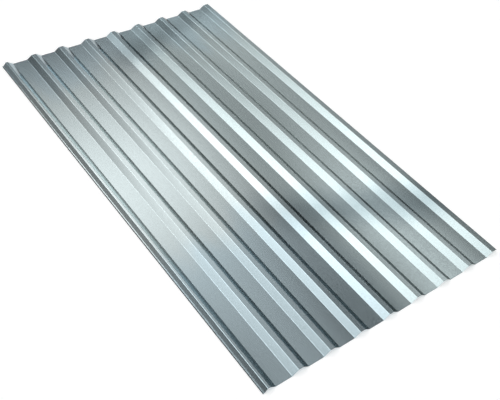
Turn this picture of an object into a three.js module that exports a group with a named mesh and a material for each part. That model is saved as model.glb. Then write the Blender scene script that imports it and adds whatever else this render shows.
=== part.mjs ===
// A galvanised steel profiled sheet: one length of thin coil, roll-formed into
// flat pans between low trapezoidal ribs, as sold for roofs, walls and fences.
//
// Millimetres, +Z up. +Y runs along the ribs, +X across them. The origin is
// under the middle of the sheet, at the level the pans lie on.

import * as THREE from 'three';

// ---- Driving dimensions ----

// Coil and cut length.
const SHEET_LENGTH = 2000;
const STEEL_THICKNESS = 0.5;

// Repeating rib. Widths lie between fold lines, and the height is between the
// pan's and the crest's mid-surfaces.
const PAN_COUNT = 8;
const RIB_PITCH = 137.5;
const PAN_WIDTH = 67.5;
const CREST_WIDTH = 20;
const RIB_HEIGHT = 18;
const BEND_RADIUS = 3;

// Underlap edge, on the left: a narrow rib that the next sheet's rib covers. Its
// steep web stands on a small foot, whose edge is turned down.
const UNDERLAP_CREST_WIDTH = 9.5;
const UNDERLAP_WEB_SLOPE = 53;
const FOOT_LEVEL = 3;
const FOOT_WIDTH = 3.5;
const FOOT_EDGE_DROP = 2.5;
const FOOT_EDGE_SLOPE = 40;
const FOOT_BEND_RADIUS = 1;

// Overlap edge, on the right: a rib wide enough to sit over the underlap rib,
// with a steep apron that stops above the pan's level.
const OVERLAP_CREST_WIDTH = 24;
const APRON_SLOPE = 50;
const APRON_DROP = 9;

// Facets in each bend's arc, an even number.
const BEND_FACETS = 6;

const GALVANISED_COLOUR = 0xd2dee1;
const GALVANISED_ROUGHNESS = 0.2;
const GALVANISED_METALNESS = 1;

// ---- Fold line of the steel's mid-surface, from left to right ----

// A fold is a corner of the mid-surface with the radius it is bent to. The two
// cut edges close the list and have no radius.

const fold = (x, z, radius = 0) => ({ point: new THREE.Vector2(x, z), radius });

const runOf = (drop, slope) => drop / Math.tan(THREE.MathUtils.degToRad(slope));

function underlapEdge(crestRight) {
  const crestLeft = crestRight - UNDERLAP_CREST_WIDTH;
  const webFoot = crestLeft - runOf(RIB_HEIGHT - FOOT_LEVEL, UNDERLAP_WEB_SLOPE);
  const footEdge = webFoot - FOOT_WIDTH;
  const tip = footEdge - runOf(FOOT_EDGE_DROP, FOOT_EDGE_SLOPE);
  return [
    fold(tip, FOOT_LEVEL - FOOT_EDGE_DROP),
    fold(footEdge, FOOT_LEVEL, FOOT_BEND_RADIUS),
    fold(webFoot, FOOT_LEVEL, FOOT_BEND_RADIUS),
    fold(crestLeft, RIB_HEIGHT, BEND_RADIUS),
    fold(crestRight, RIB_HEIGHT, BEND_RADIUS),
  ];
}

function pan(left) {
  return [
    fold(left, 0, BEND_RADIUS),
    fold(left + PAN_WIDTH, 0, BEND_RADIUS),
  ];
}

function rib(crestLeft) {
  return [
    fold(crestLeft, RIB_HEIGHT, BEND_RADIUS),
    fold(crestLeft + CREST_WIDTH, RIB_HEIGHT, BEND_RADIUS),
  ];
}

function overlapEdge(crestLeft) {
  const crestRight = crestLeft + OVERLAP_CREST_WIDTH;
  return [
    fold(crestLeft, RIB_HEIGHT, BEND_RADIUS),
    fold(crestRight, RIB_HEIGHT, BEND_RADIUS),
    fold(crestRight + runOf(APRON_DROP, APRON_SLOPE), RIB_HEIGHT - APRON_DROP),
  ];
}

function sheetFolds() {
  const webRun = (RIB_PITCH - PAN_WIDTH - CREST_WIDTH) / 2;
  const folds = underlapEdge(-webRun);
  for (let index = 0; index < PAN_COUNT; index += 1) {
    const left = index * RIB_PITCH;
    const crestLeft = left + PAN_WIDTH + webRun;
    const isLast = index === PAN_COUNT - 1;
    folds.push(...pan(left), ...(isLast ? overlapEdge(crestLeft) : rib(crestLeft)));
  }
  return folds;
}

// ---- Section: the fold line thickened to both faces ----

// The arc that rounds a fold: its centre, its radius, the directions from the
// centre to where it starts and ends, and whether it turns clockwise.
function bendArc(before, corner, after) {
  const arriving = corner.point.clone().sub(before.point).normalize();
  const leaving = after.point.clone().sub(corner.point).normalize();
  const clockwise = arriving.cross(leaving) < 0;
  const side = clockwise ? -1 : 1;
  const toCentre = (direction) => new THREE.Vector2(-direction.y, direction.x).multiplyScalar(side);
  const turn = Math.acos(THREE.MathUtils.clamp(arriving.dot(leaving), -1, 1));
  const tangentLength = corner.radius * Math.tan(turn / 2);
  const centre = corner.point.clone()
    .addScaledVector(arriving, -tangentLength)
    .addScaledVector(toCentre(arriving), corner.radius);
  const startAngle = toCentre(arriving).negate().angle();
  const endAngle = toCentre(leaving).negate().angle();
  return { centre, radius: corner.radius, startAngle, endAngle, clockwise };
}

// A cut edge's corner on one face, half the thickness to the side of the end.
function cutCorner(end, direction, offset) {
  return end.point.clone().add(new THREE.Vector2(-direction.y, direction.x).multiplyScalar(offset));
}

// The outline goes up the left cut edge, along the upper face, down the right
// cut edge and back along the lower face. A bend's radius grows on its outer
// face and shrinks on its inner one.
function sheetSection(folds) {
  const half = STEEL_THICKNESS / 2;
  const first = folds[0];
  const last = folds[folds.length - 1];
  const startDirection = folds[1].point.clone().sub(first.point).normalize();
  const endDirection = last.point.clone().sub(folds[folds.length - 2].point).normalize();
  const arcs = folds.slice(1, -1).map((corner, index) => (
    bendArc(folds[index], corner, folds[index + 2])
  ));

  const outline = new THREE.Shape();
  const upperStart = cutCorner(first, startDirection, half);
  const upperEnd = cutCorner(last, endDirection, half);
  const lowerEnd = cutCorner(last, endDirection, -half);
  const lowerStart = cutCorner(first, startDirection, -half);

  outline.moveTo(lowerStart.x, lowerStart.y);
  outline.lineTo(upperStart.x, upperStart.y);
  for (const arc of arcs) {
    const radius = arc.radius + (arc.clockwise ? half : -half);
    outline.absarc(arc.centre.x, arc.centre.y, radius, arc.startAngle, arc.endAngle, arc.clockwise);
  }
  outline.lineTo(upperEnd.x, upperEnd.y);
  outline.lineTo(lowerEnd.x, lowerEnd.y);
  for (const arc of arcs.reverse()) {
    const radius = arc.radius + (arc.clockwise ? -half : half);
    outline.absarc(arc.centre.x, arc.centre.y, radius, arc.endAngle, arc.startAngle, !arc.clockwise);
  }
  outline.closePath();
  return outline;
}

// ---- The sheet ----

// The section is drawn in the XY plane, swept along Z and then turned up, so
// that its height is Z and the sweep runs along Y. An arc is cut into twice as
// many facets as curveSegments says.
function profiledSheet() {
  const section = sheetSection(sheetFolds());
  const geometry = new THREE.ExtrudeGeometry(section, {
    depth: SHEET_LENGTH,
    steps: 1,
    curveSegments: BEND_FACETS / 2,
    bevelEnabled: false,
  });
  geometry.rotateX(Math.PI / 2);
  geometry.computeBoundingBox();
  const { min, max } = geometry.boundingBox;
  geometry.translate(-(min.x + max.x) / 2, -(min.y + max.y) / 2, -min.z);

  const material = new THREE.MeshStandardMaterial({
    color: GALVANISED_COLOUR,
    roughness: GALVANISED_ROUGHNESS,
    metalness: GALVANISED_METALNESS,
  });
  const mesh = new THREE.Mesh(geometry, material);
  mesh.name = 'profiled_sheet';
  return mesh;
}

const model = new THREE.Group();
model.add(profiledSheet());

export default model;
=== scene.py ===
import math

import bpy
from bpy.props import FloatProperty, FloatVectorProperty, IntProperty, PointerProperty
from mathutils import Matrix, Vector


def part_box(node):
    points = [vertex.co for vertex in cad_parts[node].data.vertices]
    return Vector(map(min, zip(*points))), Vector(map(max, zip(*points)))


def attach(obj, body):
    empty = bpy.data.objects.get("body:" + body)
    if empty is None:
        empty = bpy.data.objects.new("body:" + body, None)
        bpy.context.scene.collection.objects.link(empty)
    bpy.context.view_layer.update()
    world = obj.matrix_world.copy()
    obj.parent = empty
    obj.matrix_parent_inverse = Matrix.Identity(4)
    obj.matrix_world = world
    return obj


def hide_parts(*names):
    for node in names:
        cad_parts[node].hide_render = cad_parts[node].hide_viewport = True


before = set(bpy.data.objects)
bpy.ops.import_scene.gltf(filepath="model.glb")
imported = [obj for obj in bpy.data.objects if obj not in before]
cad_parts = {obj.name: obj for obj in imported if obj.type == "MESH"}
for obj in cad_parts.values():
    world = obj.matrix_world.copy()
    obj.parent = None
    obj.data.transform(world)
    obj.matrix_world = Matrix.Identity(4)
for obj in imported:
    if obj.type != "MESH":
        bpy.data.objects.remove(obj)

bl_info = {
    "name": "Galvanised Profiled Sheet",
    "version": (1, 0, 0),
    "blender": (4, 5, 0),
    "location": "3D View > Sidebar > Profiled Sheet",
    "description": "Builds a roll-formed galvanised steel sheet on a pale studio floor",
    "category": "Add Mesh",
}

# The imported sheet: one node on the one body, with one material slot.
NODE = "profiled_sheet"
BODY = "root"
CAD_LOW, CAD_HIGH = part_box(NODE)
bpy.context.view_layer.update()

# Names of the attributes that the forming tree passes on.
BEND_RADIUS_NAME = "bend radius"
CUT_EDGE_NAME = "cut edge"

# Edges that turn more than this stay sharp: the sheared rims, and none of the bends' facets.
SHARP_ANGLE = math.radians(30)
# Points closer than this share of the thickness are one point.
MERGE_SHARE = 0.01

# Width of the camera's sensor in millimetres.
SENSOR_WIDTH = 36.0


# ---- Sizes and finishes that a user would change ----

class SheetSizes(bpy.types.PropertyGroup):
    """Fold sizes, between the fold lines of the steel's mid-surface."""

    length: FloatProperty(
        name="Length", description="Cut length along the ribs",
        default=CAD_HIGH.y - CAD_LOW.y, unit="LENGTH")
    thickness: FloatProperty(
        name="Thickness", description="Thickness of the coated steel",
        default=0.0005, unit="LENGTH", precision=5)
    pan_count: IntProperty(
        name="Pans", description="How many flat pans lie between the ribs", default=8)
    rib_pitch: FloatProperty(
        name="Rib Pitch", description="Distance from one rib to the next",
        default=0.1375, unit="LENGTH", precision=4)
    pan_width: FloatProperty(
        name="Pan Width", description="Width of a pan between its two folds",
        default=0.0675, unit="LENGTH", precision=4)
    crest_width: FloatProperty(
        name="Crest Width", description="Width of a rib's flat top",
        default=0.020, unit="LENGTH", precision=4)
    bend_radius: FloatProperty(
        name="Bend Radius", description="Radius of a rib's bends at the mid-surface",
        default=0.003, unit="LENGTH", precision=4)
    underlap_crest_width: FloatProperty(
        name="Underlap Crest", description="Width of the narrow rib's top on the left edge",
        default=0.0095, unit="LENGTH", precision=4)
    underlap_web_slope: FloatProperty(
        name="Underlap Web Slope", description="Slope of the left edge's outer web",
        default=math.radians(53), unit="ROTATION")
    foot_level: FloatProperty(
        name="Foot Level", description="Height of the left edge's foot over the pans",
        default=0.003, unit="LENGTH", precision=4)
    foot_width: FloatProperty(
        name="Foot Width", description="Width of the left edge's foot",
        default=0.0035, unit="LENGTH", precision=4)
    foot_edge_drop: FloatProperty(
        name="Foot Edge Drop", description="How far the foot's edge is turned down",
        default=0.0025, unit="LENGTH", precision=4)
    foot_edge_slope: FloatProperty(
        name="Foot Edge Slope", description="Slope of the foot's turned-down edge",
        default=math.radians(40), unit="ROTATION")
    foot_bend_radius: FloatProperty(
        name="Foot Bend Radius", description="Radius of the foot's two bends",
        default=0.001, unit="LENGTH", precision=4)
    overlap_crest_width: FloatProperty(
        name="Overlap Crest", description="Width of the wide rib's top on the right edge",
        default=0.024, unit="LENGTH", precision=4)
    apron_slope: FloatProperty(
        name="Apron Slope", description="Slope of the right edge's apron",
        default=math.radians(50), unit="ROTATION")
    apron_drop: FloatProperty(
        name="Apron Drop", description="How far the apron hangs below the crest",
        default=0.009, unit="LENGTH", precision=4)


class SheetSurface(bpy.types.PropertyGroup):
    """How finely the sheet is meshed and how far its flats stray from true."""

    bend_facets: IntProperty(
        name="Bend Facets", description="Facets round each bend", default=8)
    flat_strip: FloatProperty(
        name="Flat Strip", description="Widest strip across a flat",
        default=0.009, unit="LENGTH", precision=4)
    row_length: FloatProperty(
        name="Row Length", description="Longest row along the sheet",
        default=0.034, unit="LENGTH", precision=4)
    pan_bow: FloatProperty(
        name="Pan Bow", description="How far a pan bows up between its ribs",
        default=0.00006, unit="LENGTH", precision=5)
    bow_length: FloatProperty(
        name="Bow Length", description="Distance along the sheet from bow to bow",
        default=0.40, unit="LENGTH")
    bow_seed: FloatProperty(
        name="Bow Seed", description="Picks one pattern of bows", default=4.0)
    crest_wander: FloatProperty(
        name="Crest Wander", description="How far the ribs' crests wander sideways at most",
        default=0.0015, unit="LENGTH", precision=4)
    wander_wave: FloatProperty(
        name="Wander Wave", description="How many ribs one wave of the wander takes",
        default=6.5)
    wander_start: FloatProperty(
        name="Wander Start",
        description="Where the wave starts, in ribs from the first one between two pans",
        default=3.25)


class ZincFinish(bpy.types.PropertyGroup):
    """The zinc coat and the sheared edges."""

    light_zinc: FloatVectorProperty(
        name="Light Zinc", description="Colour of the brightest zinc crystals",
        default=(0.679, 0.767, 0.776), subtype="COLOR", size=3)
    dark_zinc: FloatVectorProperty(
        name="Dark Zinc", description="Colour of the dullest zinc crystals",
        default=(0.614, 0.700, 0.708), subtype="COLOR", size=3)
    # Painted tint of the reflected light: the zinc is painted bluer towards both ends.
    painted_blue_tint: FloatVectorProperty(
        name="Painted Blue Tint",
        description="What the painted blue tint leaves of the zinc's red, green and blue",
        default=(0.925, 1.0, 1.06), size=3)
    # Painted tint of the reflected light: the right half is painted greener.
    painted_green_tint: FloatVectorProperty(
        name="Painted Green Tint",
        description="What the greener right half leaves of the zinc's red, green and blue",
        default=(0.965, 1.0, 1.0), size=3)
    sheared_steel: FloatVectorProperty(
        name="Sheared Steel", description="Colour of the bare cut edges",
        default=(0.34, 0.36, 0.37), subtype="COLOR", size=3)
    sheared_roughness: FloatVectorProperty(
        name="Sheared Roughness", description="Least and most roughness of the cut edges",
        default=(0.4, 0.6), size=2)
    spangle_size: FloatProperty(
        name="Spangle Size", description="Width of one zinc crystal",
        default=0.005, unit="LENGTH", precision=4)
    smooth_roughness: FloatProperty(
        name="Smooth Roughness", description="Roughness of the brightest zinc",
        default=0.155, subtype="FACTOR")
    dull_roughness: FloatProperty(
        name="Dull Roughness", description="Roughness of the dullest zinc",
        default=0.19, subtype="FACTOR")
    edge_tint: FloatVectorProperty(
        name="Edge Tint",
        description="How much of each colour the zinc reflects at a glancing angle",
        default=(0.48, 0.45, 0.44), subtype="COLOR", size=3)


class StudioStage(bpy.types.PropertyGroup):
    """The floor, the light and the camera."""

    floor_size: FloatProperty(
        name="Floor Size", description="Side of the square floor",
        default=60.0, unit="LENGTH")
    floor_colour: FloatVectorProperty(
        name="Floor Colour", description="Colour of the pale floor",
        default=(0.90, 0.90, 0.90), subtype="COLOR", size=3)
    floor_glow: FloatProperty(
        name="Floor Glow",
        description="Light of its own that the camera and reflections see on the floor",
        default=0.24)
    floor_gap: FloatProperty(
        name="Floor Gap", description="How far the floor lies below the sheet's pans",
        default=0.0010, unit="LENGTH", precision=4)
    camera_place: FloatVectorProperty(
        name="Camera Place", description="Where the camera stands",
        default=(-1.4933, -1.8496, 2.1001), subtype="XYZ", size=3)
    camera_aim: FloatVectorProperty(
        name="Camera Aim", description="The point on the floor that the camera looks at",
        default=(-0.0929, -0.2781, 0.0), subtype="XYZ", size=3)
    camera_roll: FloatProperty(
        name="Camera Roll", description="How far the camera's right side is tipped up",
        default=math.radians(7.796), unit="ROTATION")
    focal_length: FloatProperty(
        name="Focal Length", description="Lens of the camera on a 36 mm sensor",
        default=53.83, unit="CAMERA")


# ---- Building node trees ----

class TreeBuilder:
    """Adds nodes to a node tree and feeds their inputs with values or other nodes' outputs."""

    COLUMN = 220
    ROW = 260
    COLUMNS = 12

    def __init__(self, tree):
        self.tree = tree
        tree.nodes.clear()

    def add(self, kind, inputs=None, **settings):
        """A new node with its settings made and its inputs fed, by name or by number."""
        node = self.tree.nodes.new(kind)
        count = len(self.tree.nodes) - 1
        row, column = divmod(count, self.COLUMNS)
        node.location = (column * self.COLUMN, -row * self.ROW)
        for name, value in settings.items():
            setattr(node, name, value)
        for key, value in (inputs or {}).items():
            self.feed(node.inputs[key], value)
        return node

    def feed(self, socket, value):
        if isinstance(value, bpy.types.NodeSocket):
            self.tree.links.new(value, socket)
        else:
            socket.default_value = value

    def maths(self, operation, *values, clamp=False):
        """The result of one Math node."""
        inputs = dict(enumerate(values))
        node = self.add("ShaderNodeMath", inputs, operation=operation, use_clamp=clamp)
        return node.outputs[0]

    def fade(self, value, start, end, low=0.0, high=1.0):
        """A smooth step from low, where value is at start, to high, where it is at end."""
        node = self.add("ShaderNodeMapRange", {
            "Value": value, "From Min": start, "From Max": end, "To Min": low, "To Max": high,
        }, interpolation_type="SMOOTHSTEP")
        return node.outputs["Result"]

    def mix_colours(self, share, first, second):
        """A colour from first to second, by share."""
        node = self.add("ShaderNodeMix", data_type="RGBA")
        sockets = {socket.identifier: socket for socket in node.inputs}
        self.feed(sockets["Factor_Float"], share)
        self.feed(sockets["A_Color"], (*first, 1.0))
        self.feed(sockets["B_Color"], (*second, 1.0))
        return next(socket for socket in node.outputs if socket.identifier == "Result_Color")

    def switch(self, index, data_type, values):
        """Picks one of the values by an index field."""
        node = self.add("GeometryNodeIndexSwitch", data_type=data_type)
        while len(node.index_switch_items) < len(values):
            node.index_switch_items.new()
        self.feed(node.inputs[0], index)
        for place, value in enumerate(values, start=1):
            self.feed(node.inputs[place], value)
        return node.outputs[0]

    def input_sockets(self, sockets):
        for name, kind in sockets.items():
            self.tree.interface.new_socket(name, in_out="INPUT", socket_type=kind)
        return self.add("NodeGroupInput")


def set_modifier_inputs(modifier, values):
    """Sets a Geometry Nodes modifier's inputs, given by the names of its sockets."""
    sockets = {
        item.name: item.identifier
        for item in modifier.node_group.interface.items_tree
        if item.item_type == "SOCKET" and item.in_out == "INPUT"
    }
    for name, value in values.items():
        modifier[sockets[name]] = value


# ---- The sheet's fold line and its roll-formed surface ----

def run_of(drop, slope):
    return drop / math.tan(slope)


def web_run(sizes):
    """Width that a rib's web takes across the sheet."""
    return (sizes.rib_pitch - sizes.pan_width - sizes.crest_width) / 2


def rib_height(sizes):
    return CAD_HIGH.z - CAD_LOW.z - sizes.thickness


def edge_folds(sizes):
    """The folds outside the repeating ribs, as (x, z, bend radius), and the first rib's x.

    The line runs through the middle of the steel, and starts half a thickness
    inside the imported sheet's box.
    """
    half = sizes.thickness / 2
    level = CAD_LOW.z + half
    crest_level = level + rib_height(sizes)
    foot_level = level + sizes.foot_level

    tip = CAD_LOW.x + half * math.sin(sizes.foot_edge_slope)
    foot_edge = tip + run_of(sizes.foot_edge_drop, sizes.foot_edge_slope)
    web_foot = foot_edge + sizes.foot_width
    crest_left = web_foot + run_of(crest_level - foot_level, sizes.underlap_web_slope)
    first_rib = crest_left + sizes.underlap_crest_width

    last_crest_left = first_rib + sizes.pan_count * sizes.rib_pitch - sizes.crest_width
    last_crest_right = last_crest_left + sizes.overlap_crest_width
    apron_edge = last_crest_right + run_of(sizes.apron_drop, sizes.apron_slope)
    folds = [
        (tip, foot_level - sizes.foot_edge_drop, 0.0),
        (foot_edge, foot_level, sizes.foot_bend_radius),
        (web_foot, foot_level, sizes.foot_bend_radius),
        (crest_left, crest_level, sizes.bend_radius),
        (last_crest_right, crest_level, sizes.bend_radius),
        (apron_edge, crest_level - sizes.apron_drop, 0.0),
    ]
    return folds, first_rib


def edge_fold_mesh(folds):
    """Loose vertices at the folds of the two side edges, with their bend radii."""
    mesh = bpy.data.meshes.new(NODE)
    mesh.from_pydata([(x, 0.0, z) for x, z, _ in folds], [], [])
    radii = mesh.attributes.new(BEND_RADIUS_NAME, "FLOAT", "POINT")
    radii.data.foreach_set("value", [radius for _, _, radius in folds])
    return mesh


def wandered_ribs(builder, given, ribs, wander):
    """Moves each rib's crest a little sideways, which makes one of its webs steeper."""
    position = builder.add("GeometryNodeInputPosition").outputs[0]
    place = builder.add("ShaderNodeSeparateXYZ", {0: position}).outputs
    from_first = builder.maths("SUBTRACT", place["X"], given["First Rib"])
    rib = builder.maths("ROUND", builder.maths("DIVIDE", from_first, given["Rib Pitch"]))
    shift = builder.switch(rib, "FLOAT", [0.0, *wander])
    half_height = builder.maths("MULTIPLY", given["Rib Height"], 0.5)
    middle = builder.maths("ADD", given["Pan Level"], half_height)
    return builder.add("GeometryNodeSetPosition", {
        "Geometry": ribs,
        "Selection": builder.maths("GREATER_THAN", place["Z"], middle),
        "Offset": builder.add("ShaderNodeCombineXYZ", {"X": shift}).outputs[0],
    }).outputs[0]


def fold_line(builder, given, wander):
    """One bent curve across the sheet: the repeated ribs' folds and the side edges' folds."""
    web = given["Web Run"]
    crest_level = builder.maths("ADD", given["Pan Level"], given["Rib Height"])
    pan_right = builder.maths("ADD", web, given["Pan Width"])
    next_crest = builder.maths("ADD", pan_right, web)
    corners = [
        (0.0, crest_level),
        (web, given["Pan Level"]),
        (pan_right, given["Pan Level"]),
        (next_crest, crest_level),
    ]
    places = [
        builder.add("ShaderNodeCombineXYZ", {"X": x, "Z": z}).outputs[0]
        for x, z in corners
    ]
    pan_folds = builder.add("GeometryNodeMeshLine", {"Count": len(corners)})
    index = builder.add("GeometryNodeInputIndex").outputs[0]
    pan_folds = builder.add("GeometryNodeSetPosition", {
        "Geometry": pan_folds.outputs[0],
        "Position": builder.switch(index, "VECTOR", places),
    })
    pan_folds = builder.add("GeometryNodeStoreNamedAttribute", {
        "Geometry": pan_folds.outputs[0],
        "Name": BEND_RADIUS_NAME,
        "Value": given["Bend Radius"],
    }, data_type="FLOAT", domain="POINT")

    pitch = builder.add("ShaderNodeCombineXYZ", {"X": given["Rib Pitch"]})
    start = builder.add("ShaderNodeCombineXYZ", {"X": given["First Rib"]})
    pans = builder.add("GeometryNodeMeshLine", {
        "Count": given["Pan Count"],
        "Start Location": start.outputs[0],
        "Offset": pitch.outputs[0],
    })
    ribs = builder.add("GeometryNodeInstanceOnPoints", {
        "Points": pans.outputs[0],
        "Instance": pan_folds.outputs[0],
    })
    ribs = builder.add("GeometryNodeRealizeInstances", {"Geometry": ribs.outputs[0]})
    folds = builder.add("GeometryNodeJoinGeometry")
    builder.feed(folds.inputs[0], given["Side Edge Folds"])
    builder.feed(folds.inputs[0], wandered_ribs(builder, given, ribs.outputs[0], wander))
    folds = builder.add("GeometryNodeMeshToPoints", {"Mesh": folds.outputs[0]})
    position = builder.add("GeometryNodeInputPosition")
    across = builder.add("ShaderNodeSeparateXYZ", {0: position.outputs[0]}).outputs["X"]
    line = builder.add("GeometryNodePointsToCurves", {
        "Points": folds.outputs[0],
        "Weight": across,
    })
    radius = builder.add("GeometryNodeInputNamedAttribute", {
        "Name": BEND_RADIUS_NAME,
    }, data_type="FLOAT")
    bent = builder.add("GeometryNodeFilletCurve", {
        "Curve": line.outputs[0],
        "Radius": radius.outputs[0],
        "Count": given["Bend Facets"],
    }, mode="POLY")
    return bent.outputs[0]


def strip_cuts(builder, given):
    """How often each stretch of the fold line is cut, so that no strip is too wide."""
    position = builder.add("GeometryNodeInputPosition").outputs[0]
    index = builder.add("GeometryNodeInputIndex").outputs[0]
    following = builder.add("GeometryNodeFieldAtIndex", {
        "Index": builder.maths("ADD", index, 1.0),
        "Value": position,
    }, data_type="FLOAT_VECTOR", domain="POINT")
    stretch = builder.add("ShaderNodeVectorMath", {
        0: following.outputs[0],
        1: position,
    }, operation="DISTANCE").outputs["Value"]
    return builder.maths("FLOOR", builder.maths("DIVIDE", stretch, given["Flat Strip"]))


def pan_bow(builder, given):
    """How far each point of a pan is bowed up, as cold-formed flats are."""
    position = builder.add("GeometryNodeInputPosition").outputs[0]
    place = builder.add("ShaderNodeSeparateXYZ", {0: position})
    from_first = builder.maths("SUBTRACT", place.outputs["X"], given["First Rib"])
    rib = builder.maths("DIVIDE", from_first, given["Rib Pitch"])
    past_crest = builder.maths("MULTIPLY", builder.maths("FRACT", rib), given["Rib Pitch"])
    into_pan = builder.maths("SUBTRACT", past_crest, given["Web Run"])
    share = builder.maths("DIVIDE", into_pan, given["Pan Width"], clamp=True)
    away = builder.maths("MULTIPLY", share, builder.maths("SUBTRACT", 1.0, share))
    arch = builder.maths("MULTIPLY", away, 4.0)
    pattern = builder.add("ShaderNodeCombineXYZ", {
        "X": builder.maths("FLOOR", rib),
        "Y": builder.maths("DIVIDE", place.outputs["Y"], given["Bow Length"]),
        "Z": given["Bow Seed"],
    })
    noise = builder.add("ShaderNodeTexNoise", {
        "Vector": pattern.outputs[0],
        "Scale": 1.0,
        "Detail": 1.0,
    }).outputs["Fac"]
    height = builder.maths("MULTIPLY", builder.maths("MULTIPLY", arch, noise), given["Pan Bow"])
    return builder.add("ShaderNodeCombineXYZ", {"Z": height}).outputs[0]


def crest_wander(surface, rib):
    """How far a rib's crest stands to the right of true, on a slow wave over the ribs."""
    turns = (rib - surface.wander_start) / surface.wander_wave
    return surface.crest_wander * math.sin(2.0 * math.pi * turns)


def roll_formed_tree(wander):
    """Bends the folds, sweeps them along the sheet and gives the steel its thickness."""
    tree = bpy.data.node_groups.new("Roll-formed sheet", "GeometryNodeTree")
    builder = TreeBuilder(tree)
    number, whole = "NodeSocketFloat", "NodeSocketInt"
    given = builder.input_sockets({
        "Side Edge Folds": "NodeSocketGeometry",
        "Length": number,
        "Thickness": number,
        "Pan Count": whole,
        "First Rib": number,
        "Pan Level": number,
        "Rib Height": number,
        "Rib Pitch": number,
        "Pan Width": number,
        "Web Run": number,
        "Bend Radius": number,
        "Bend Facets": whole,
        "Flat Strip": number,
        "Rows": whole,
        "Pan Bow": number,
        "Bow Length": number,
        "Bow Seed": number,
        "Zinc": "NodeSocketMaterial",
        "Sheared Steel": "NodeSocketMaterial",
    }).outputs
    tree.interface.new_socket("Sheet", in_out="OUTPUT", socket_type="NodeSocketGeometry")

    across = builder.add("GeometryNodeSubdivideCurve", {
        "Curve": fold_line(builder, given, wander),
        "Cuts": strip_cuts(builder, given),
    })
    half_length = builder.maths("MULTIPLY", given["Length"], 0.5)
    back = builder.add("ShaderNodeCombineXYZ", {"X": half_length})
    minus_half = builder.maths("MULTIPLY", half_length, -1.0)
    front = builder.add("ShaderNodeCombineXYZ", {"X": minus_half})
    along = builder.add("GeometryNodeCurvePrimitiveLine", {
        "Start": front.outputs[0],
        "End": back.outputs[0],
    })
    rows = builder.add("GeometryNodeResampleCurve", {
        "Curve": along.outputs[0],
        "Count": given["Rows"],
    }, mode="COUNT")
    upright = builder.add("GeometryNodeSetCurveNormal", {
        "Curve": across.outputs[0],
    }, mode="Z_UP")
    surface = builder.add("GeometryNodeCurveToMesh", {
        "Curve": upright.outputs[0],
        "Profile Curve": rows.outputs[0],
    })
    surface = builder.add("GeometryNodeSetPosition", {
        "Geometry": surface.outputs[0],
        "Offset": pan_bow(builder, given),
    })

    # The steel goes half its thickness down from the fold line and as much up.
    normal = builder.add("GeometryNodeInputNormal").outputs[0]
    half_down = builder.maths("MULTIPLY", given["Thickness"], -0.5)
    downwards = builder.add("ShaderNodeVectorMath", {
        0: normal,
        "Scale": half_down,
    }, operation="SCALE")
    underside = builder.add("GeometryNodeSetPosition", {
        "Geometry": surface.outputs[0],
        "Offset": downwards.outputs[0],
    })
    raised = builder.add("GeometryNodeExtrudeMesh", {
        "Mesh": underside.outputs[0],
        "Offset Scale": given["Thickness"],
        "Individual": False,
    }, mode="FACES")
    raised_marked = builder.add("GeometryNodeStoreNamedAttribute", {
        "Geometry": raised.outputs["Mesh"],
        "Name": CUT_EDGE_NAME,
        "Value": raised.outputs["Side"],
    }, data_type="BOOLEAN", domain="FACE")
    turned_over = builder.add("GeometryNodeFlipFaces", {"Mesh": underside.outputs[0]})
    shell = builder.add("GeometryNodeJoinGeometry")
    builder.feed(shell.inputs[0], turned_over.outputs[0])
    builder.feed(shell.inputs[0], raised_marked.outputs[0])
    closed = builder.add("GeometryNodeMergeByDistance", {
        "Geometry": shell.outputs[0],
        "Distance": builder.maths("MULTIPLY", given["Thickness"], MERGE_SHARE),
    })

    smooth = builder.add("GeometryNodeSetShadeSmooth", {
        "Geometry": closed.outputs[0],
    }, domain="FACE")
    angle = builder.add("GeometryNodeInputMeshEdgeAngle").outputs["Unsigned Angle"]
    is_corner = builder.maths("GREATER_THAN", angle, SHARP_ANGLE)
    smooth = builder.add("GeometryNodeSetShadeSmooth", {
        "Geometry": smooth.outputs[0],
        "Selection": is_corner,
        "Shade Smooth": False,
    }, domain="EDGE")
    realised = builder.add("GeometryNodeRealizeInstances", {"Geometry": smooth.outputs[0]})
    coated = builder.add("GeometryNodeSetMaterial", {
        "Geometry": realised.outputs[0],
        "Material": given["Zinc"],
    })
    is_cut = builder.add("GeometryNodeInputNamedAttribute", {
        "Name": CUT_EDGE_NAME,
    }, data_type="BOOLEAN")
    sheared = builder.add("GeometryNodeSetMaterial", {
        "Geometry": coated.outputs[0],
        "Selection": is_cut.outputs[0],
        "Material": given["Sheared Steel"],
    })
    builder.add("NodeGroupOutput", {0: sheared.outputs[0]})
    return tree


def baked_piece(maker, name):
    """The maker's evaluated shape as a plain mesh object, with the maker removed."""
    bpy.context.view_layer.update()
    evaluated = maker.evaluated_get(bpy.context.evaluated_depsgraph_get())
    mesh = bpy.data.meshes.new_from_object(evaluated)
    if not mesh.polygons:
        raise RuntimeError(f"{name} came out empty")
    mesh.name = name
    piece = bpy.data.objects.new(name, mesh)
    bpy.context.scene.collection.objects.link(piece)
    bpy.data.objects.remove(maker)
    return piece


# ---- Materials ----

def new_material(name):
    """A new material, its builder and its Principled shader, which is already its surface."""
    material = bpy.data.materials.new(name)
    material.use_nodes = True
    builder = TreeBuilder(material.node_tree)
    shader = builder.add("ShaderNodeBsdfPrincipled")
    builder.add("ShaderNodeOutputMaterial", {"Surface": shader.outputs[0]})
    return material, builder, shader


def object_place(builder, scale):
    """Object coordinates, scaled along each axis."""
    place = builder.add("ShaderNodeTexCoord").outputs["Object"]
    return builder.add("ShaderNodeMapping", {"Vector": place, "Scale": scale}).outputs[0]


# Below, places on the sheet are in metres from its middle, to the right and to the back.

# Bands of painted shade across the sheet: dark stripes painted into the zinc's colour where its
# reflections go dark.
# Where each crosses the middle of the sheet, how far it slants back to the right, its half
# width and its darkening.
PAINTED_SHADE_BANDS = (
    dict(along=-0.388, slant=-0.43, half_width=0.100, darkening=0.34),
    dict(along=0.85, slant=0.37, half_width=0.068, darkening=0.27),
)
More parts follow.
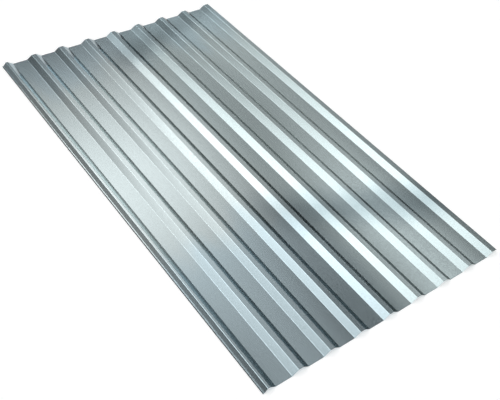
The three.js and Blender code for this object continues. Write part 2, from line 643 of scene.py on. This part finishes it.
# They come up from left to right between these two places, and wobble along their way.
SHADE_BAND_STARTS, SHADE_BAND_IS_FULL = -0.20, 0.0
SHADE_BAND_WOBBLE = 0.08
WOBBLES_PER_METRE = 6.0

# A painted blue tint of the reflected light comes up towards each end, and its front part gives
# out to the right.
FRONT_BLUE_STARTS, FRONT_BLUE_IS_FULL = -0.27, -0.50
BACK_BLUE_STARTS, BACK_BLUE_IS_FULL = 0.62, 0.90
BLUE_WEAKENS, BLUE_IS_WEAK, WEAK_BLUE = -0.04, 0.12, 0.1
BLUE_DRIFT = 0.5
SHADE_BAND_BLUE = 2.0
# A painted green tint of the reflected light comes up from left to right between these two
# places.
GREEN_STARTS, GREEN_IS_FULL = -0.08, 0.10

# How often the zinc's patterns repeat in a metre, across, along and up the sheet.
STREAKS_PER_METRE = (420.0, 2.5, 420.0)
CLOUDS_PER_METRE = (7.0, 2.0, 7.0)
DRAG_LINES_PER_METRE = (2500.0, 2500.0, 300.0)

# What each pattern adds to the zinc's shade, from 0 for dull to 1 for bright.
CRYSTAL_SHARE = 0.35
STREAK_SHARE = 0.3
CLOUD_SHARE = 0.35
SHADE_LOW, SHADE_HIGH = 0.25, 0.75

# How high the crystals and streaks stand in metres, and how much of that shows.
CRYSTAL_RELIEF = 0.00002
RELIEF_STRENGTH = 0.25
# How bright the cut edges are in the drag lines, against the rest of the edge.
DRAG_LINE_SHADE = 0.7


def painted_shade_band(builder, place, shade_band):
    """How strongly one band of painted shade shows, fading out to the left half of the sheet.
    """
    parts = builder.add("ShaderNodeSeparateXYZ", {0: place}).outputs
    slanted = builder.maths("MULTIPLY_ADD", parts["X"], shade_band["slant"], shade_band["along"])
    wobble = builder.add("ShaderNodeTexNoise", {
        "Vector": place,
        "Scale": WOBBLES_PER_METRE,
        "Detail": 1.0,
    })
    wavy = builder.maths("MULTIPLY_ADD", wobble.outputs["Fac"], SHADE_BAND_WOBBLE, parts["Y"])
    off = builder.maths("ABSOLUTE", builder.maths("SUBTRACT", wavy, slanted))
    across = builder.fade(off, 0.0, 2.0 * shade_band["half_width"], shade_band["darkening"], 0.0)
    on_the_right = builder.fade(parts["X"], SHADE_BAND_STARTS, SHADE_BAND_IS_FULL)
    return builder.maths("MULTIPLY", across, on_the_right)


def painted_blue_share(builder, parts, cloud, shade_band):
    """How much painted blue tint of the reflected light the zinc gets: most at both ends of the
    sheet and on the bands of painted shade.
    """
    stray = builder.maths("SUBTRACT", cloud, 0.5)
    drift = builder.maths("MULTIPLY_ADD", stray, BLUE_DRIFT, parts["Y"])
    front = builder.fade(drift, FRONT_BLUE_STARTS, FRONT_BLUE_IS_FULL)
    on_the_left = builder.fade(parts["X"], BLUE_WEAKENS, BLUE_IS_WEAK, 1.0, WEAK_BLUE)
    front = builder.maths("MULTIPLY", front, on_the_left)
    back = builder.fade(drift, BACK_BLUE_STARTS, BACK_BLUE_IS_FULL)
    ends = builder.maths("MAXIMUM", front, back)
    on_the_shade_band = builder.maths("MULTIPLY", shade_band, SHADE_BAND_BLUE)
    return builder.maths("MAXIMUM", ends, on_the_shade_band, clamp=True)


def tinted(builder, colour, tint, share):
    """A colour times a tint, where share is 1, and as it was, where share is 0."""
    change = builder.mix_colours(share, (1.0, 1.0, 1.0), tint)
    product = builder.add("ShaderNodeVectorMath", {0: colour, 1: change}, operation="MULTIPLY")
    return product.outputs[0]


def zinc_material(finish):
    """Hot-dip zinc: faint crystals and rolling streaks, with bands of painted shade and painted
    blue and green tints of the reflected light.
    """
    material, builder, shader = new_material("Galvanised zinc")

    crystals = builder.add("ShaderNodeTexVoronoi", {
        "Vector": object_place(builder, (1.0, 1.0, 1.0)),
        "Scale": 1.0 / finish.spangle_size,
    }, feature="F1")
    crystal = builder.add("ShaderNodeSeparateColor", {0: crystals.outputs["Color"]}).outputs[0]
    streak = builder.add("ShaderNodeTexNoise", {
        "Vector": object_place(builder, STREAKS_PER_METRE),
        "Scale": 1.0,
        "Detail": 3.0,
        "Roughness": 0.6,
    }).outputs["Fac"]
    cloud = builder.add("ShaderNodeTexNoise", {
        "Vector": object_place(builder, CLOUDS_PER_METRE),
        "Scale": 1.0,
        "Detail": 3.0,
    }).outputs["Fac"]
    streaks = builder.maths("MULTIPLY", streak, STREAK_SHARE)
    grain = builder.maths("MULTIPLY_ADD", crystal, CRYSTAL_SHARE, streaks)
    shade = builder.maths("MULTIPLY_ADD", cloud, CLOUD_SHARE, grain)

    place = builder.add("ShaderNodeTexCoord").outputs["Object"]
    parts = builder.add("ShaderNodeSeparateXYZ", {0: place}).outputs
    # Bands of painted shade: dark stripes painted across the zinc.
    shade_bands = [painted_shade_band(builder, place, shade_band) for shade_band in PAINTED_SHADE_BANDS]
    shade_band = builder.maths("MAXIMUM", *shade_bands)
    blue_share = painted_blue_share(builder, parts, cloud, shade_band)
    # The right half is painted greener, a painted tint of the reflected light.
    greener = builder.fade(parts["X"], GREEN_STARTS, GREEN_IS_FULL)
    colour = builder.mix_colours(shade, finish.dark_zinc, finish.light_zinc)
    colour = tinted(builder, colour, finish.painted_green_tint, greener)
    # Painted blue tint of the reflected light, towards both ends and on the painted shade
    # bands.
    colour = tinted(builder, colour, finish.painted_blue_tint, blue_share)
    # The bands of painted shade darken the zinc's colour.
    kept = builder.maths("SUBTRACT", 1.0, shade_band)
    colour = builder.add("ShaderNodeVectorMath", {0: colour, "Scale": kept}, operation="SCALE")
    roughness = builder.add("ShaderNodeMapRange", {
        "Value": shade,
        "From Min": SHADE_LOW,
        "From Max": SHADE_HIGH,
        "To Min": finish.dull_roughness,
        "To Max": finish.smooth_roughness,
    })
    bump = builder.add("ShaderNodeBump", {
        "Strength": RELIEF_STRENGTH,
        "Distance": CRYSTAL_RELIEF,
        "Height": grain,
    })
    builder.feed(shader.inputs["Base Color"], colour.outputs[0])
    builder.feed(shader.inputs["Roughness"], roughness.outputs["Result"])
    builder.feed(shader.inputs["Normal"], bump.outputs[0])
    shader.inputs["Metallic"].default_value = 1.0
    shader.inputs["Specular Tint"].default_value = (*finish.edge_tint, 1.0)
    return material


def sheared_steel_material(finish):
    """Bare steel where the shears cut the sheet: matt, with upright drag lines."""
    material, builder, shader = new_material("Sheared steel")
    drag = builder.add("ShaderNodeTexNoise", {
        "Vector": object_place(builder, DRAG_LINES_PER_METRE),
        "Scale": 1.0,
        "Detail": 2.0,
    }).outputs["Fac"]
    worn = [DRAG_LINE_SHADE * part for part in finish.sheared_steel]
    colour = builder.mix_colours(drag, worn, finish.sheared_steel)
    builder.feed(shader.inputs["Base Color"], colour)
    roughness = builder.add("ShaderNodeMapRange", {
        "Value": drag,
        "To Min": finish.sheared_roughness[0],
        "To Max": finish.sheared_roughness[1],
    })
    builder.feed(shader.inputs["Roughness"], roughness.outputs["Result"])
    shader.inputs["Metallic"].default_value = 1.0
    return material


# ---- The stage ----

def floor_material(stage):
    """A pale floor that keeps the sheet's shadow and looks white, also in reflections."""
    material = bpy.data.materials.new("Pale floor")
    material.use_nodes = True
    builder = TreeBuilder(material.node_tree)
    diffuse = builder.add("ShaderNodeBsdfDiffuse", {"Color": (*stage.floor_colour, 1.0)})
    path = builder.add("ShaderNodeLightPath")
    seen = path.outputs["Is Camera Ray"]
    for ray in ("Is Glossy Ray", "Is Transmission Ray"):
        seen = builder.maths("MAXIMUM", seen, path.outputs[ray])
    glow = builder.add("ShaderNodeEmission", {
        "Strength": builder.maths("MULTIPLY", seen, stage.floor_glow),
    })
    surface = builder.add("ShaderNodeAddShader", {0: diffuse.outputs[0], 1: glow.outputs[0]})
    builder.add("ShaderNodeOutputMaterial", {"Surface": surface.outputs[0]})
    return material


def add_floor(stage):
    half = stage.floor_size / 2
    mesh = bpy.data.meshes.new("studio_floor")
    corners = [(-half, -half), (half, -half), (half, half), (-half, half)]
    level = CAD_LOW.z - stage.floor_gap
    mesh.from_pydata([(x, y, level) for x, y in corners], [], [(0, 1, 2, 3)])
    mesh.materials.append(floor_material(stage))
    floor = bpy.data.objects.new("studio_floor", mesh)
    bpy.context.scene.collection.objects.link(floor)


# Soft boxes hang level and far off. Their places and half sizes are in heights:
# across 0.5 is half as far to the right as the box is high, and along is to the back.
# The numbers come, rounded, from a least-squares fit to the photo's tones.
SOFT_BOXES = {
    "key over the left": dict(
        across=-0.7, along=0.8, turn=15, half=(0.15, 0.55), soft=0.6, light=1.75),
    "fill beside the key": dict(
        across=-0.95, along=0.75, turn=10, half=(0.15, 0.4), soft=0.25, light=0.9),
    "panel over the middle": dict(
        across=0.0, along=0.9, turn=25, half=(0.3, 0.35), soft=0.75, light=1.5),
    "strip by the panel": dict(
        across=-0.2, along=0.4, turn=15, half=(0.2, 0.3), soft=0.5, light=2.0),
    "glow beside the panel": dict(
        across=0.2, along=1.0, turn=5, half=(0.15, 0.25), soft=0.25, light=1.5),
    "glow over the back": dict(
        across=0.55, along=0.95, turn=-5, half=(0.15, 0.25), soft=1.0, light=1.25),
    "fill over the front": dict(
        across=0.5, along=0.3, turn=-5, half=(0.1, 0.3), soft=0.25, light=0.4),
    "right strip": dict(
        across=0.85, along=0.5, turn=0, half=(0.06, 0.3), soft=0.75, light=1.25),
    "rear strip": dict(
        across=0.9, along=1.6, turn=5, half=(0.07, 0.65), soft=0.75, light=1.2),
    "low panel on the right": dict(
        across=2.0, along=2.8, turn=5, half=(0.2, 2.0), soft=0.75, light=3.0),
    "low panel on the left": dict(
        across=-7.0, along=5.0, turn=0, half=(3.0, 2.0), soft=0.75, light=0.3),
}

# The room round the boxes: brighter overhead in front, dark behind, and pale at the
# horizon. Rise is 0 at the horizon and 1 overhead, and depth is -1 in front and 1 behind.
FRONT_LIGHT = 1.23
FRONT_LOW_LIGHT = 0.45
FRONT_LOW_RISE, FRONT_FULL_RISE = 0.20, 0.85
BACK_LIGHT = 0.03
FRONT_END_DEPTH, BACK_START_DEPTH = -0.04, 0.22
HORIZON_LIGHT = 1.0
HORIZON_TOP_RISE, HORIZON_FULL_RISE = 0.065, 0.02
LEAST_RISE = 0.02


def soft_box_light(builder, plane, box):
    """What one soft box adds along a direction through that place of the ceiling plane."""
    local = builder.add("ShaderNodeMapping", {
        "Vector": plane,
        "Location": (box["across"], box["along"], 0.0),
        "Rotation": (0.0, 0.0, math.radians(box["turn"])),
        "Scale": (*box["half"], 1.0),
    }, vector_type="TEXTURE").outputs[0]
    parts = builder.add("ShaderNodeSeparateXYZ", {0: local})
    inner, outer = 1.0 - box["soft"], 1.0 + box["soft"]
    shares = [
        builder.fade(builder.maths("ABSOLUTE", parts.outputs[axis]), inner, outer, 1.0, 0.0)
        for axis in ("X", "Y")
    ]
    return builder.maths("MULTIPLY", builder.maths("MULTIPLY", *shares), box["light"])


def light_studio():
    """Fills the world with the room's light and the soft boxes over the sheet."""
    world = bpy.data.worlds.new("Studio light")
    world.use_nodes = True
    builder = TreeBuilder(world.node_tree)
    direction = builder.add("ShaderNodeTexCoord").outputs["Generated"]
    parts = builder.add("ShaderNodeSeparateXYZ", {0: direction}).outputs
    rise = builder.maths("MAXIMUM", parts["Z"], LEAST_RISE)
    plane = builder.add("ShaderNodeCombineXYZ", {
        "X": builder.maths("DIVIDE", parts["X"], rise),
        "Y": builder.maths("DIVIDE", parts["Y"], rise),
    }).outputs[0]
    front = builder.fade(
        parts["Z"], FRONT_LOW_RISE, FRONT_FULL_RISE, FRONT_LOW_LIGHT, FRONT_LIGHT)
    light = builder.fade(parts["Y"], FRONT_END_DEPTH, BACK_START_DEPTH, front, BACK_LIGHT)
    for box in SOFT_BOXES.values():
        light = builder.maths("ADD", light, soft_box_light(builder, plane, box))
    # Low down the room is as pale as the floor, so the floor's far edge doesn't show.
    horizon = builder.fade(parts["Z"], HORIZON_TOP_RISE, HORIZON_FULL_RISE, 0.0, HORIZON_LIGHT)
    light = builder.maths("MAXIMUM", light, horizon)
    background = builder.add("ShaderNodeBackground", {
        "Color": (1.0, 1.0, 1.0, 1.0),
        "Strength": light,
    })
    builder.add("ShaderNodeOutputWorld", {"Surface": background.outputs[0]})
    bpy.context.scene.world = world


def add_camera(stage):
    data = bpy.data.cameras.new("studio_camera")
    data.sensor_width = SENSOR_WIDTH
    data.lens = stage.focal_length
    camera = bpy.data.objects.new("studio_camera", data)
    place = Vector(stage.camera_place)
    view = Vector(stage.camera_aim) - place
    level = view.to_track_quat("-Z", "Y").to_matrix().to_4x4()
    turn = Matrix.Rotation(stage.camera_roll, 4, "Z")
    camera.matrix_world = Matrix.Translation(place) @ level @ turn
    bpy.context.scene.collection.objects.link(camera)
    bpy.context.scene.camera = camera


# ---- Operators ----

class MESH_OT_add_profiled_sheet(bpy.types.Operator):
    """Rolls the ribs, gives the steel its thickness and coats it with zinc"""

    bl_idname = "mesh.add_profiled_sheet"
    bl_label = "Profiled Sheet"

    def execute(self, context):
        sizes = context.scene.sheet_sizes
        surface = context.scene.sheet_surface
        finish = context.scene.zinc_finish
        folds, first_rib = edge_folds(sizes)
        maker = bpy.data.objects.new("sheet_maker", edge_fold_mesh(folds))
        context.scene.collection.objects.link(maker)
        forming = maker.modifiers.new("Roll forming", "NODES")
        wander = [crest_wander(surface, rib) for rib in range(sizes.pan_count)]
        forming.node_group = roll_formed_tree(wander)
        set_modifier_inputs(forming, {
            "Length": sizes.length,
            "Thickness": sizes.thickness,
            "Pan Count": sizes.pan_count,
            "First Rib": first_rib,
            "Pan Level": CAD_LOW.z + sizes.thickness / 2,
            "Rib Height": rib_height(sizes),
            "Rib Pitch": sizes.rib_pitch,
            "Pan Width": sizes.pan_width,
            "Web Run": web_run(sizes),
            "Bend Radius": sizes.bend_radius,
            "Bend Facets": surface.bend_facets,
            "Flat Strip": surface.flat_strip,
            "Rows": math.ceil(sizes.length / surface.row_length) + 1,
            "Pan Bow": surface.pan_bow,
            "Bow Length": surface.bow_length,
            "Bow Seed": surface.bow_seed,
            "Zinc": zinc_material(finish),
            "Sheared Steel": sheared_steel_material(finish),
        })
        weighting = maker.modifiers.new("Flat faces stay flat", "WEIGHTED_NORMAL")
        weighting.keep_sharp = True
        piece = baked_piece(maker, "galvanised_profiled_sheet")
        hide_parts(NODE)
        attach(piece, BODY)
        return {"FINISHED"}


class SCENE_OT_add_sheet_stage(bpy.types.Operator):
    """Lays the pale floor, lights the studio and sets up the camera"""

    bl_idname = "scene.add_sheet_stage"
    bl_label = "Studio Stage"

    def execute(self, context):
        stage = context.scene.studio_stage
        add_floor(stage)
        light_studio()
        add_camera(stage)
        context.scene.view_settings.view_transform = "Standard"
        return {"FINISHED"}


class VIEW3D_PT_profiled_sheet(bpy.types.Panel):
    """Lists what the add-on builds"""

    bl_idname = "VIEW3D_PT_profiled_sheet"
    bl_label = "Profiled Sheet"
    bl_space_type = "VIEW_3D"
    bl_region_type = "UI"
    bl_category = "Profiled Sheet"

    def draw(self, context):
        scene = context.scene
        for heading, group, operator in PARTS:
            box = self.layout.box()
            box.label(text=heading)
            values = getattr(scene, group)
            for name in values.bl_rna.properties.keys():
                if name not in ("rna_type", "name"):
                    box.prop(values, name)
            if operator:
                box.operator(operator)


PARTS = (
    ("Sizes", "sheet_sizes", None),
    ("Surface", "sheet_surface", None),
    ("Finish", "zinc_finish", MESH_OT_add_profiled_sheet.bl_idname),
    ("Stage", "studio_stage", SCENE_OT_add_sheet_stage.bl_idname),
)
PROPERTY_GROUPS = {
    "sheet_sizes": SheetSizes,
    "sheet_surface": SheetSurface,
    "zinc_finish": ZincFinish,
    "studio_stage": StudioStage,
}
CLASSES = (
    *PROPERTY_GROUPS.values(),
    MESH_OT_add_profiled_sheet,
    SCENE_OT_add_sheet_stage,
    VIEW3D_PT_profiled_sheet,
)


def register():
    for cls in CLASSES:
        bpy.utils.register_class(cls)
    for name, group in PROPERTY_GROUPS.items():
        setattr(bpy.types.Scene, name, PointerProperty(type=group))


def unregister():
    for name in PROPERTY_GROUPS:
        delattr(bpy.types.Scene, name)
    for cls in reversed(CLASSES):
        bpy.utils.unregister_class(cls)


def main():
    register()
    bpy.ops.mesh.add_profiled_sheet()
    bpy.ops.scene.add_sheet_stage()


if __name__ == "__main__":
    main()
